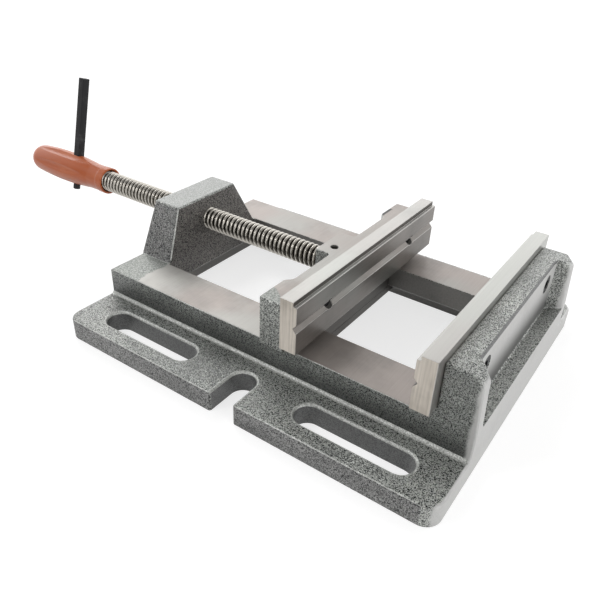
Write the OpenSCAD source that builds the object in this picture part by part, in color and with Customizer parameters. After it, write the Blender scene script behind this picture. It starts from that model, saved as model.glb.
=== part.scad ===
// Drill press vise with slotted side flanges, shown with its jaws about 62 mm apart.
// X runs along the screw from the handle to the fixed jaw, Y across the jaws, Z up.
// The origin is the middle of the underside of the base.

/* [Base casting] */
// Length of the base along the screw
base_length = 236.5; // [232:0.5:244]
// Width of the base if both flanges reached as far out as the near one
base_width = 207.5; // [204:0.5:220]
// How much less the far flange reaches out than the near one
far_flange_trim = 4.5; // [0:0.5:5.5]
// Thickness of the bolting flanges
flange_thickness = 12.5; // [9:0.5:14]
// Corner radius of the flanges at the fixed jaw's end
far_corner_radius = 8.5; // [3:0.5:10]
// Corner radius of the flanges at the handle's end
handle_corner_radius = 8; // [2:0.5:10]
// Width of the raised body between the flanges
body_width = 137.5; // [134:0.5:140]
// Height of the machined rail tops above the bench
rail_height = 29; // [28:0.5:32]
// Depth of each rail from its top to the face that the keeper runs under
rail_depth = 14.5; // [12:0.5:15]
// Width of the open window between the rails
window_width = 85; // [80:0.5:90]
// Length of solid base under the bridge, from the handle end to the window
bridge_foot_length = 23.5; // [20:0.5:26]
// Thickness of the side walls under the rails
side_wall = 10; // [7:0.5:12]
// Thickness of the end walls under the bridge and under the fixed jaw
end_wall = 12; // [9:0.5:16]
// Radius of the fillet where the body meets each flange
foot_fillet = 2; // [1:0.5:6]

/* [Bolting slots] */
// Width of the bolt slots and of the open notch in each flange
slot_width = 15; // [11:0.5:17]
// Overall length of one closed slot
slot_length = 65; // [40:0.5:72]
// Distance from an end of the base to the middle of the nearest slot
slot_end_distance = 51.5; // [45:0.5:56]
// Distance from the near side of the base to its line of slots, which the far line mirrors
slot_edge_distance = 17; // [14:0.5:19]

/* [Screw bridge] */
// Height of the top of the bridge above the rails
bridge_rise = 30.5; // [28:0.5:38]
// Width of the bridge across its top
bridge_top_width = 53; // [44:0.5:60]
// Width of the bridge across its foot, at rail level
bridge_foot_width = 83; // [76:0.5:90]
// Length of the bridge along the screw at its top
bridge_top_length = 20; // [16:0.5:22]
// How far the bridge stands proud of the handle end of the base
bridge_proud = 1.5; // [0.5:0.5:4]
// Height of the screw axis above the rails
screw_rise = 15; // [14:0.5:17]

/* [Fixed jaw] */
// Height of the top of the fixed jaw casting above the rails
fixed_jaw_rise = 31; // [28:0.5:36]
// Distance from the fixed plate's seat to the far end of the base
fixed_jaw_depth = 20.5; // [19:0.5:24]
// Thickness of the fixed jaw wall behind its plate
fixed_jaw_wall = 11.5; // [10:0.5:13]
// Thickness of each end gusset where it meets the jaw wall
gusset_root = 12.75; // [10:0.25:16]
// Thickness of each end gusset at the far end of the base
gusset_tip = 7.25; // [5:0.25:9]
// Fillet radius in the corners between the jaw wall and its end gussets
pocket_fillet = 5; // [2:0.5:6]
// Height of the pocket floor above the rails
pocket_floor_rise = 0; // [-2:0.5:3]
// Height and length of the bevel at the top of each end gusset
gusset_bevel = 5; // [3:0.5:6]
// How far each gusset leans in between the pocket floor and its bevel
gusset_lean = 1.5; // [0.5:0.5:3]
// How far the solid foot under the fixed plate reaches past its front face
fixed_foot_reach = 2; // [1:0.5:6]
// How far the ledge under the fixed plate stops short of its front face
ledge_inset = 1.5; // [0.5:0.5:4]

/* [Jaw plates] */
// Length of each jaw plate across the vise
plate_length = 152.4; // [148:0.1:160]
// Thickness of each jaw plate
plate_thickness = 10; // [8.5:0.5:12]
// Height of each jaw plate
plate_height = 30; // [27:0.5:34]
// Height of each plate's lower edge above the rail tops
plate_lift = 5.5; // [4.5:0.5:7]
// Height of the screws and of the V groove above a plate's lower edge
groove_rise = 15; // [13:0.5:16.5]
// Depth of the step along the top front edge of a plate
step_depth = 2.5; // [1:0.5:4]
// Width of the step along the top front edge of a plate
step_width = 2; // [1:0.5:3]
// Height of the mouth of the V groove along a plate's face
groove_height = 5; // [3:0.5:6]
// Depth of the V groove
groove_depth = 2.2; // [1.8:0.2:3.6]
// Distance between the two screws of a plate
plate_screw_spacing = 91; // [84:0.5:94]

/* [Movable jaw] */
// Distance from the handle end of the base to the movable plate's seat
movable_seat_place = 133.5; // [118:0.5:150]
// Width of the movable jaw casting across the vise
movable_jaw_width = 146; // [142:0.5:147]
// Height of the top of the movable jaw above the rails
movable_jaw_rise = 28.5; // [27:0.5:34]
// Thickness of the thin wall behind the movable plate
movable_wall = 12; // [10.5:0.5:13]
// Thickness of the two end pads of the movable jaw
end_pad_depth = 15.5; // [14:0.5:18]
// Width of one end pad where it joins the wall
end_pad_width = 25; // [21:0.5:26]
// Width of the slanted side of an end pad
end_pad_slant = 4; // [2:0.5:5]
// Distance from the plate seat to the back of the screw boss
boss_depth = 21.7; // [20:0.1:24]
// Width of the screw boss
boss_width = 27; // [24:0.5:32]
// Length of the guide block that runs between the rails
guide_length = 24.5; // [22:0.5:30]

/* [Keeper under the rails] */
// Thickness of the keeper plate
keeper_thickness = 4.8; // [4:0.2:5.4]
// Gap between each end of the keeper plate and the side wall beside it
keeper_end_gap = 3.75; // [2:0.25:8]
// Distance between the two keeper bolts
keeper_bolt_spacing = 52; // [44:0.5:60]
// Thickness of a keeper bolt's washer
washer_thickness = 1.4; // [1:0.2:1.6]
// Outer diameter of a keeper bolt's washer
washer_diameter = 12; // [11.5:0.5:14]

/* [Screws and bolts] */
// Shank diameter of the plate screws and the keeper bolts
fastener_diameter = 6; // [5:0.5:6.5]
// Head diameter of a plate screw
cap_diameter = 10; // [9:0.5:11]
// Head height of a plate screw
cap_height = 6; // [5:0.5:6.5]
// Width across the flats of a plate screw's socket
socket_flats = 5; // [4:0.5:5.5]
// Depth of a plate screw's socket
socket_depth = 3; // [2:0.5:3.5]
// Width across the flats of a keeper bolt's head
hex_flats = 10; // [9:0.5:11]
// Height of a keeper bolt's head
hex_height = 4; // [3:0.5:4.5]
// Length of a keeper bolt's thread inside the guide block
keeper_grip = 12; // [8:0.5:14]

/* [Lead screw] */
// Outer diameter of the lead screw's thread
screw_diameter = 14.3; // [13.5:0.1:15]
// Length of the thread between the grip and the movable jaw
thread_length = 207; // [200:0.5:212]
// Diameter of the plain journal that turns in the movable jaw
journal_diameter = 9; // [8:0.5:10]
// Length of the journal
journal_length = 16; // [15:0.5:17]
// Diameter at the bottom of the journal's retaining groove
neck_diameter = 5; // [4.5:0.5:6]
// Distance from the screw's shoulder to the middle of the retaining groove
neck_place = 7.5; // [6.5:0.5:8.5]
// Step on the radius from the thread down to the plain shank inside the grip
shank_step = 1.15; // [0.6:0.05:1.8]
// Length of the plain shank inside the grip
shank_length = 34; // [30:0.5:38]
// Diameter of the pin that holds the journal in the movable jaw
pin_diameter = 4; // [3:0.5:4.5]
// How far the pin lies below the top of the movable jaw
pin_sink = 3; // [0.2:0.2:4]

/* [Handle grip] */
// Length of the moulded grip
grip_length = 83; // [78:0.5:88]
// Gap round the thread in the recess of the collar
recess_gap = 0.95; // [0.6:0.05:1.4]
// Depth of that recess
recess_depth = 19; // [16:0.5:22]
// Thickness of the grip's neck round the recess
neck_wall = 1; // [0.8:0.1:1.6]
// Thickness of the grip's collar round the recess
collar_wall = 1.3; // [1.2:0.1:2.2]
// Length of the grip's collar
collar_length = 6; // [4:0.5:9]
// How much fuller the belly is than the neck, on the radius
belly_swell = 1.9; // [1.6:0.1:2.8]
// Distance from the collar's face to the fullest part of the grip
belly_place = 47.5; // [44:0.5:52]
// Radius of the long curve of the grip's side
belly_radius = 260; // [200:5:400]
// Number of flutes round the grip
flute_count = 6; // [4:1:8]
// Radius of the round section of one flute
flute_radius = 4.5; // [3.5:0.5:5.5]
// Depth of a flute at its middle
flute_depth = 1.3; // [0.6:0.1:1.6]

/* [Handle bar] */
// Width of the square bar
bar_width = 5.4; // [5.4:0.2:7]
// Distance from the screw axis to the top of the bar
bar_reach = 66; // [50:0.5:80]
// Step from the flats of the bar down to its turned shank
bar_shoulder = 0.2; // [0.1:0.1:0.6]
// How far the shank stands out of the grip on its far side
bar_tail = 3.7; // [2:0.1:6]
// Distance from the collar's face to the bar
bar_place = 36; // [33:0.5:40]
// How deep the square bar sinks into the grip
bar_sink = 2.8; // [2:0.1:3.4]
// Lean of the bar from upright, about the screw
bar_lean_angle = 15; // [0:1:40]

/* [Clearances] */
// Running clearance on the radius of a shaft in its bore
running_clearance = 0.05; // [0.02:0.01:0.1]
// Clearance between the movable jaw and the rails it slides on
slide_clearance = 0.1; // [0.05:0.05:0.2]
// Gap between the keeper and the underside of the rails
keeper_clearance = 0.2; // [0.1:0.05:0.3]
// Clearance on the radius of a screw in its through hole
hole_clearance = 0.3; // [0.1:0.05:0.4]
// Gap round the retaining pin in the journal's groove
neck_clearance = 0.3; // [0.2:0.05:0.4]

/* [Hidden] */
$fn = 96;
fine_sides = 720;
hexagon_sides = 6;
sides = [-1, 1];

// How far a cut runs past the face it opens through, as a share of the slot width
overrun_share = 0.07;
overrun = overrun_share * slot_width;

// Places along X
handle_end = -base_length / 2;
far_end = base_length / 2;
slot_place = far_end - slot_end_distance;
near_reach = base_width / 2;
far_reach = near_reach - far_flange_trim;
slot_line = near_reach - slot_edge_distance;
bridge_start = handle_end - bridge_proud;
window_start = handle_end + bridge_foot_length;
fixed_seat = far_end - fixed_jaw_depth;
window_end = fixed_seat - plate_thickness - fixed_foot_reach;
pocket_start = fixed_seat + fixed_jaw_wall;
movable_seat = handle_end + movable_seat_place;
boss_back = movable_seat - boss_depth;
guide_back = movable_seat - guide_length;
guide_middle = movable_seat - guide_length / 2;
shoulder = boss_back - slide_clearance;
thread_start = shoulder - thread_length;
shank_start = thread_start - shank_length;
collar_face = thread_start + recess_depth;
belly_middle = collar_face - belly_place;
grip_end = collar_face - grip_length;
pin_middle = shoulder + neck_place;
bar_middle = collar_face - bar_place;

// Width of the hollow under the rails
hollow_width = body_width - 2 * side_wall;

// Heights
rail_underside = rail_height - rail_depth;
screw_height = rail_height + screw_rise;
bridge_top = rail_height + bridge_rise;
fixed_jaw_top = rail_height + fixed_jaw_rise;
movable_jaw_top = rail_height + movable_jaw_rise;
pocket_floor = rail_height + pocket_floor_rise;
plate_bottom = rail_height + plate_lift;
plate_top = plate_bottom + plate_height;
groove_middle = plate_bottom + groove_rise;
slide_level = rail_height + slide_clearance;
keeper_top = rail_underside - keeper_clearance;
keeper_bottom = keeper_top - keeper_thickness;
bolt_seat = keeper_bottom - washer_thickness;

// Radii of shafts and of the holes that take them
screw_radius = screw_diameter / 2;
journal_radius = journal_diameter / 2;
groove_radius = neck_diameter / 2;
shank_radius = screw_radius - shank_step;
fastener_radius = fastener_diameter / 2;
fastener_hole_radius = fastener_radius + running_clearance;
through_hole_radius = fastener_radius + hole_clearance;
cap_hole_radius = cap_diameter / 2 + hole_clearance;
cap_hole_depth = cap_height + hole_clearance;
pin_radius = pin_diameter / 2;
pin_offset = groove_radius + neck_clearance + pin_radius;
recess_radius = screw_radius + recess_gap;
neck_radius = recess_radius + neck_wall;
collar_radius = recess_radius + collar_wall;
grip_radius = neck_radius + belly_swell;
bar_shank_radius = bar_width / 2 - bar_shoulder;
bar_seat = grip_radius - bar_sink;

// Radius of the grip's nose, which meets the long curve of its side without a corner
nose_reach = grip_length - belly_place;
nose_radius = (2 * belly_radius * grip_radius - grip_radius * grip_radius - nose_reach * nose_reach)
    / (2 * (belly_radius - nose_reach));

// Paint and metal colours
casting_colour = "#5d6663";
machined_colour = "#b9b3aa";
steel_colour = "#d6d5cf";
black_colour = "#2b2b2b";
grip_colour = "#b4553a";

// A flat shape drawn in Y and Z, drawn out along X from zero
module along_x(length) {
    rotate([90, 0, 90])
        linear_extrude(length)
            children();
}

// A flat shape drawn in X and Z, drawn out along Y about the middle
module along_y(length) {
    rotate([90, 0, 0])
        linear_extrude(length, center = true)
            children();
}

// A round bar that lies along X and starts at zero
module rod_x(radius, length) {
    rotate([0, 90, 0])
        cylinder(r = radius, h = length);
}

// A turned shape whose outline is drawn as place along X against radius
module turned_x() {
    rotate([0, 90, 0])
        rotate_extrude()
            mirror([1, -1])
                children();
}

// A prism with hexagonal ends, measured over its flats
module hexagon(flats, length) {
    cylinder(d = flats / cos(30), h = length, $fn = hexagon_sides);
}

// Puts a shape on the far side as drawn, or mirrors it to the near side
module on_side(side) {
    mirror([0, side < 0 ? 1 : 0, 0])
        children();
}

// Puts its children at both screws of a jaw plate
module at_plate_screws() {
    for (side = sides)
        translate([0, side * plate_screw_spacing / 2, groove_middle])
            children();
}

// Puts its children at both keeper bolts, from a given height upwards
module at_keeper_bolts(level) {
    for (side = sides)
        translate([guide_middle, side * keeper_bolt_spacing / 2, level])
            children();
}

// Puts its children at the handle bar, with Z along the bar away from the screw
module at_bar() {
    translate([bar_middle, 0, screw_height])
        rotate([-bar_lean_angle, 0, 0])
            children();
}

// What is cut off a square corner to round it, with the corner towards +X and +Y
module corner_cut(radius) {
    difference() {
        square(radius + overrun);
        circle(radius);
    }
}

// A slot with round ends along X, centred on the origin
module slot_outline(length, width) {
    square([length - width, width], center = true);
    for (end = sides)
        translate([end * (length - width) / 2, 0])
            circle(width / 2);
}

// Outline of the bolting flanges, with four closed slots and two open notches
module flange_outline() {
    notch_reach = slot_edge_distance + overrun;
    difference() {
        translate([handle_end, -near_reach])
            square([base_length, near_reach + far_reach]);
        for (side = sides)
            on_side(side) {
                reach = side > 0 ? far_reach : near_reach;
                translate([far_end - far_corner_radius, reach - far_corner_radius])
                    corner_cut(far_corner_radius);
                translate([handle_end + handle_corner_radius, reach - handle_corner_radius])
                    mirror([1, 0])
                        corner_cut(handle_corner_radius);
                for (end = sides)
                    translate([end * slot_place, slot_line])
                        slot_outline(slot_length, slot_width);
                translate([0, slot_line])
                    circle(slot_width / 2);
                translate([-slot_width / 2, slot_line])
                    square([slot_width, notch_reach]);
            }
    }
}

// Concave fillet along the foot of one side of the body
module foot_fillet_strip() {
    along_x(base_length)
        difference() {
            translate([-foot_fillet, -foot_fillet])
                square(2 * foot_fillet);
            translate([foot_fillet, foot_fillet])
                circle(foot_fillet);
        }
}

// Bridge that carries the screw: it narrows to its top in both views
module bridge() {
    half_foot = bridge_foot_width / 2;
    half_top = bridge_top_width / 2;
    intersection() {
        translate([bridge_start, 0, 0])
            along_x(bridge_proud + bridge_foot_length)
                polygon([
                    [-half_foot, flange_thickness],
                    [half_foot, flange_thickness],
                    [half_foot, rail_height],
                    [half_top, bridge_top],
                    [-half_top, bridge_top],
                    [-half_foot, rail_height]
                ]);
        along_y(bridge_foot_width)
            polygon([
                [bridge_start, flange_thickness],
                [window_start, flange_thickness],
                [window_start, rail_height],
                [bridge_start + bridge_top_length, bridge_top],
                [bridge_start, bridge_top]
            ]);
    }
}

// Side view of the fixed jaw, with its plate ledge and its bevelled end gussets
module fixed_jaw_outline() {
    ledge_front = fixed_seat - plate_thickness + ledge_inset;
    gusset_top = far_end - gusset_lean;
    polygon([
        [window_end, flange_thickness],
        [window_end, rail_height],
        [ledge_front, rail_height],
        [ledge_front, plate_bottom],
        [fixed_seat, plate_bottom],
        [fixed_seat, fixed_jaw_top],
        [gusset_top - gusset_bevel, fixed_jaw_top],
        [gusset_top, fixed_jaw_top - gusset_bevel],
        [far_end, pocket_floor],
        [far_end, flange_thickness]
    ]);
}

// Plan of the far half of the rear pocket, with a fillet between wall and gusset
module half_pocket_outline() {
    half_wall = body_width / 2 - gusset_root;
    slant = atan2(gusset_root - gusset_tip, far_end - pocket_start);
    mouth = far_end + overrun;
    fillet_x = pocket_start + pocket_fillet;
    fillet_y = half_wall - pocket_fillet * (1 - sin(slant)) / cos(slant);
    reach = pocket_fillet + overrun;
    difference() {
        polygon([
            [pocket_start, 0],
            [mouth, 0],
            [mouth, half_wall + (mouth - pocket_start) * tan(slant)],
            [pocket_start, half_wall]
        ]);
        difference() {
            polygon([
                [pocket_start - overrun, fillet_y],
                [fillet_x, fillet_y],
                [fillet_x - reach * sin(slant), fillet_y + reach * cos(slant)],
                [pocket_start - overrun, half_wall + overrun]
            ]);
            translate([fillet_x, fillet_y])
                circle(pocket_fillet);
        }
    }
}

// Open pocket behind the fixed jaw, wider at its mouth
module rear_pocket() {
    translate([0, 0, pocket_floor])
        linear_extrude(fixed_jaw_top)
            for (side = sides)
                on_side(side)
                    half_pocket_outline();
}

// Hollow under the rails that the keeper travels in
module rail_hollow() {
    hollow_length = base_length - 2 * end_wall;
    translate([-hollow_length / 2, -hollow_width / 2, -overrun])
        cube([hollow_length, hollow_width, rail_underside + overrun]);
}

// Holes for the two screws of a plate, entered from the back of the wall at zero
module plate_screw_holes(wall_thickness) {
    at_plate_screws() {
        translate([-overrun, 0, 0])
            rod_x(through_hole_radius, wall_thickness);
        translate([wall_thickness - cap_hole_depth, 0, 0])
            rod_x(cap_hole_radius, cap_hole_depth + end_wall);
    }
}

module base_casting() {
    color(casting_colour)
        difference() {
            union() {
                linear_extrude(flange_thickness)
                    flange_outline();
                translate([handle_end, -body_width / 2, 0])
                    cube([base_length, body_width, rail_height]);
                for (side = sides)
                    on_side(side)
                        translate([handle_end, body_width / 2, flange_thickness])
                            foot_fillet_strip();
                bridge();
                along_y(body_width)
                    fixed_jaw_outline();
            }
            translate([window_start, -window_width / 2, -overrun])
                cube([window_end - window_start, window_width, rail_height + 2 * overrun]);
            rail_hollow();
            rear_pocket();
            translate([bridge_start - overrun, 0, screw_height])
                rod_x(screw_radius + running_clearance, bridge_proud + bridge_foot_length + 2 * overrun);
            translate([fixed_seat, 0, 0])
                plate_screw_holes(fixed_jaw_wall);
        }
}

// Ground jaw plate with its back at zero and its gripping face towards +X
module jaw_plate() {
    difference() {
        along_y(plate_length)
            polygon([
                [0, plate_bottom],
                [plate_thickness, plate_bottom],
                [plate_thickness, groove_middle - groove_height / 2],
                [plate_thickness - groove_depth, groove_middle],
                [plate_thickness, groove_middle + groove_height / 2],
                [plate_thickness, plate_top - step_depth],
                [plate_thickness - step_width, plate_top - step_depth],
                [plate_thickness - step_width, plate_top],
                [0, plate_top]
            ]);
        at_plate_screws()
            translate([-overrun, 0, 0])
                rod_x(fastener_hole_radius, plate_thickness + 2 * overrun);
    }
}

module fixed_jaw_plate() {
    color(steel_colour)
        translate([fixed_seat, 0, 0])
            mirror([1, 0, 0])
                jaw_plate();
}

module movable_jaw_plate() {
    color(steel_colour)
        translate([movable_seat, 0, 0])
            jaw_plate();
}

// Two socket head screws that pull a plate against the front of the wall at zero
module plate_screws(wall_thickness) {
    head_seat = wall_thickness - cap_hole_depth;
    reach = plate_thickness - groove_depth - hole_clearance;
    at_plate_screws()
        difference() {
            union() {
                translate([-reach, 0, 0])
                    rod_x(fastener_radius, reach + head_seat + cap_height / 2);
                translate([head_seat, 0, 0])
                    rod_x(cap_diameter / 2, cap_height);
            }
            translate([head_seat + cap_height - socket_depth, 0, 0])
                rotate([0, 90, 0])
                    hexagon(socket_flats, socket_depth + overrun);
        }
}

module fixed_jaw_screws() {
    color(black_colour)
        translate([fixed_seat, 0, 0])
            plate_screws(fixed_jaw_wall);
}

module movable_jaw_screws() {
    color(black_colour)
        translate([movable_seat, 0, 0])
            mirror([1, 0, 0])
                plate_screws(movable_wall);
}

// Plan of the movable jaw: a thin wall, two end pads and the screw boss
module movable_jaw_outline() {
    half = movable_jaw_width / 2;
    half_boss = boss_width / 2;
    pad_back = movable_seat - end_pad_depth;
    wall_back = movable_seat - movable_wall;
    wall_end = half - end_pad_width;
    pad_end = wall_end + end_pad_slant;
    polygon([
        [movable_seat, -half],
        [movable_seat, half],
        [pad_back, half],
        [pad_back, pad_end],
        [wall_back, wall_end],
        [wall_back, half_boss],
        [boss_back, half_boss],
        [boss_back, -half_boss],
        [wall_back, -half_boss],
        [wall_back, -wall_end],
        [pad_back, -pad_end],
        [pad_back, -half]
    ]);
}

module movable_jaw() {
    guide_width = window_width - 2 * slide_clearance;
    color(casting_colour)
        difference() {
            union() {
                translate([0, 0, slide_level])
                    linear_extrude(movable_jaw_top - slide_level)
                        movable_jaw_outline();
                translate([guide_back, -guide_width / 2, keeper_top])
                    cube([guide_length, guide_width, slide_level - keeper_top]);
            }
            translate([movable_seat, 0, 0])
                mirror([1, 0, 0])
                    plate_screw_holes(movable_wall);
            translate([boss_back - overrun, 0, screw_height])
                rod_x(journal_radius + running_clearance, journal_length + overrun);
            translate([pin_middle, -pin_offset, screw_height - journal_radius])
                cylinder(r = pin_radius + running_clearance, h = movable_jaw_top);
            at_keeper_bolts(keeper_top - overrun)
                cylinder(r = fastener_hole_radius, h = keeper_grip + hole_clearance + overrun);
        }
}

module keeper_plate() {
    keeper_width = hollow_width - 2 * keeper_end_gap;
    color(machined_colour)
        difference() {
            translate([guide_back, -keeper_width / 2, keeper_bottom])
                cube([guide_length, keeper_width, keeper_thickness]);
            at_keeper_bolts(keeper_bottom - overrun)
                cylinder(r = through_hole_radius, h = keeper_thickness + 2 * overrun);
        }
}

module keeper_washers() {
    color(steel_colour)
        difference() {
            at_keeper_bolts(bolt_seat)
                cylinder(d = washer_diameter, h = washer_thickness);
            at_keeper_bolts(bolt_seat - overrun)
                cylinder(r = through_hole_radius, h = washer_thickness + 2 * overrun);
        }
}

module keeper_bolts() {
    bolt_length = hex_height / 2 + washer_thickness + keeper_thickness + keeper_grip;
    color(black_colour) {
        at_keeper_bolts(bolt_seat - hex_height)
            hexagon(hex_flats, hex_height);
        at_keeper_bolts(bolt_seat - hex_height / 2)
            cylinder(r = fastener_radius, h = bolt_length);
    }
}

// Outline of the lead screw: shank, thread, journal and retaining groove
module lead_screw_outline() {
    half_groove = pin_radius + neck_clearance;
    polygon([
        [shank_start, 0],
        [shank_start, shank_radius],
        [thread_start, shank_radius],
        [thread_start, screw_radius],
        [shoulder, screw_radius],
        [shoulder, journal_radius],
        [pin_middle - half_groove, journal_radius],
        [pin_middle - half_groove, groove_radius],
        [pin_middle + half_groove, groove_radius],
        [pin_middle + half_groove, journal_radius],
        [shoulder + journal_length, journal_radius],
        [shoulder + journal_length, 0]
    ]);
}

module lead_screw() {
    color(steel_colour)
        difference() {
            translate([0, 0, screw_height])
                turned_x()
                    lead_screw_outline();
            at_bar()
                cylinder(r = bar_shank_radius + running_clearance, h = screw_diameter, center = true);
        }
}

module screw_retaining_pin() {
    pin_bottom = screw_height - journal_radius;
    color(steel_colour)
        translate([pin_middle, -pin_offset, pin_bottom])
            cylinder(r = pin_radius, h = movable_jaw_top - pin_sink - pin_bottom);
}

// Outline of the grip: round nose, long belly, neck and collar
module grip_outline() {
    nose_middle = grip_end + nose_radius;
    intersection() {
        translate([nose_middle, 0])
            circle(nose_radius, $fn = fine_sides);
        translate([grip_end, 0])
            square(nose_radius);
    }
    intersection() {
        translate([belly_middle, grip_radius - belly_radius])
            circle(belly_radius, $fn = fine_sides);
        translate([nose_middle, 0])
            square([collar_face - nose_middle, 2 * grip_radius]);
    }
    translate([belly_middle, 0])
        square([belly_place - collar_length / 2, neck_radius]);
    translate([collar_face - collar_length, 0])
        square([collar_length, collar_radius]);
}

module handle_grip() {
    flute_offset = grip_radius - flute_depth + flute_radius;
    color(grip_colour)
        difference() {
            translate([0, 0, screw_height])
                turned_x()
                    grip_outline();
            for (index = [0 : flute_count - 1])
                translate([grip_end, 0, screw_height])
                    rotate([index * 360 / flute_count - bar_lean_angle, 0, 0])
                        translate([0, 0, flute_offset])
                            rod_x(flute_radius, grip_length + overrun);
            translate([thread_start, 0, screw_height])
                rod_x(recess_radius, recess_depth + overrun);
            translate([shank_start, 0, screw_height])
                rod_x(shank_radius + running_clearance, shank_length + overrun);
            at_bar() {
                cylinder(r = bar_shank_radius + running_clearance, h = 4 * grip_radius, center = true);
                translate([0, 0, bar_seat])
                    linear_extrude(2 * grip_radius)
                        square(bar_width + 2 * slide_clearance, center = true);
            }
        }
}

module handle_bar() {
    tail_reach = grip_radius + bar_tail;
    color(black_colour)
        at_bar() {
            translate([0, 0, -tail_reach])
                cylinder(r = bar_shank_radius, h = tail_reach + bar_seat + bar_width);
            translate([0, 0, bar_seat])
                linear_extrude(bar_reach - bar_seat)
                    square(bar_width, center = true);
        }
}

base_casting();
fixed_jaw_plate();
fixed_jaw_screws();
movable_jaw();
movable_jaw_plate();
movable_jaw_screws();
keeper_plate();
keeper_washers();
keeper_bolts();
lead_screw();
screw_retaining_pin();
handle_grip();
handle_bar();
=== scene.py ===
"""Looks of a drill press vise: hammered castings, ground jaw plates, a threaded screw and a moulded grip.

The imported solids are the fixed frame. The castings and plates are copies of those solids with rounded
edges, and the thread and the grip are made here in the places that the solids give. Every length in a
class field is in millimetres, in the frame of the part, unless its name says otherwise. A band is the
range of a pattern over which something fades in.
"""

import logging
import math
from dataclasses import dataclass, field, replace
from enum import Enum

import bmesh
import bpy
from mathutils import Matrix, Vector


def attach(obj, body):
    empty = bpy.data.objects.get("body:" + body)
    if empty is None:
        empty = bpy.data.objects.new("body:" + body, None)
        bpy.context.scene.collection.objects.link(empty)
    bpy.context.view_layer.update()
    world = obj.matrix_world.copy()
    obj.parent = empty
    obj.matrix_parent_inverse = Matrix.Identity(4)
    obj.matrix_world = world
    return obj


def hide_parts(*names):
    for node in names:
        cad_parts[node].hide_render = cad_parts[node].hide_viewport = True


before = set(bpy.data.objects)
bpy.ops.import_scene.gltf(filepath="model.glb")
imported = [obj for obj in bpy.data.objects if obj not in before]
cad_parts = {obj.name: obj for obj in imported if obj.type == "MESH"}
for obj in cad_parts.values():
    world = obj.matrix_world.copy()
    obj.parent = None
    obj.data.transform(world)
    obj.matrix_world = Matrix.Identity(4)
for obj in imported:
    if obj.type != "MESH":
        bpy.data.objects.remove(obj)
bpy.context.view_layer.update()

MM = 0.001
PHOTO_PIXELS = 616
WHITE = (1.0, 1.0, 1.0, 1.0)
NOISE_MEAN = 0.5
LOG = logging.getLogger("vise")

Colour = tuple[float, float, float]
Point = tuple[float, float, float]
Pair = tuple[float, float]
Socket = bpy.types.NodeSocket
Ring = list[bmesh.types.BMVert]
Inputs = dict[str | int, object]


class Body(Enum):
    """The three bodies that move against each other."""

    BASE = "base"
    JAW = "jaw"
    SCREW = "screw"


class Slot(Enum):
    """The record's material slots."""

    PAINT = "casting_paint"
    GROUND = "ground_steel"
    BLACK = "black_steel"
    SCREW = "screw_steel"
    GRIP = "grip_plastic"


@dataclass
class NodeMaker:
    """Short calls that add and feed nodes, which the shader, world and geometry trees share."""

    name: str
    tree: bpy.types.NodeTree = field(init=False)

    def node(self, kind: str, inputs: Inputs | None = None, **settings: object) -> bpy.types.Node:
        """Adds a node.

        Args:
            kind: the node's type name.
            inputs: what its inputs get.
            settings: attributes of the node.

        Returns:
            The new node.
        """
        made = self.tree.nodes.new(kind)
        for key, value in settings.items():
            setattr(made, key, value)
        self.fill(made, inputs or {})
        return made

    def fill(self, node: bpy.types.Node, inputs: Inputs) -> None:
        """Links output sockets into a node's inputs, or sets the inputs to plain values.

        Args:
            node: the node.
            inputs: a socket, a number, a tuple or a material for each input, by its name or number.
        """
        for key, value in inputs.items():
            if isinstance(value, Socket):
                self.tree.links.new(value, node.inputs[key])
            else:
                node.inputs[key].default_value = value

    def math(self, operation: str, first: object, second: object = 0.0, clamp: bool = False) -> Socket:
        """Adds a Math node.

        Args:
            operation: the node's operation.
            first: the first input.
            second: the second input.
            clamp: whether the result stays between 0 and 1.

        Returns:
            The result.
        """
        made = self.node("ShaderNodeMath", {0: first, 1: second}, operation=operation, use_clamp=clamp)
        return made.outputs[0]

    def ramp(self, value: object, low: float, high: float, start: float = 0.0, end: float = 1.0) -> Socket:
        """Maps a range of a value smoothly to another range.

        Args:
            value: the input.
            low: the input at which the result is start.
            high: the input at which the result is end.
            start: the first result.
            end: the last result.

        Returns:
            The mapped value.
        """
        limits = {"Value": value, "From Min": low, "From Max": high, "To Min": start, "To Max": end}
        made = self.node("ShaderNodeMapRange", limits, interpolation_type="SMOOTHSTEP", clamp=True)
        return made.outputs["Result"]


@dataclass(frozen=True)
class Grain:
    """A noise pattern.

    The scale is in cells for each metre, alike in all directions or one value for X, Y and Z. The detail
    counts the octaves of finer noise, roughness is their strength, and swirl bends the pattern.
    """

    scale: float | Point
    detail: float = 2.0
    roughness: float = 0.5
    swirl: float = 0.0


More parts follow.
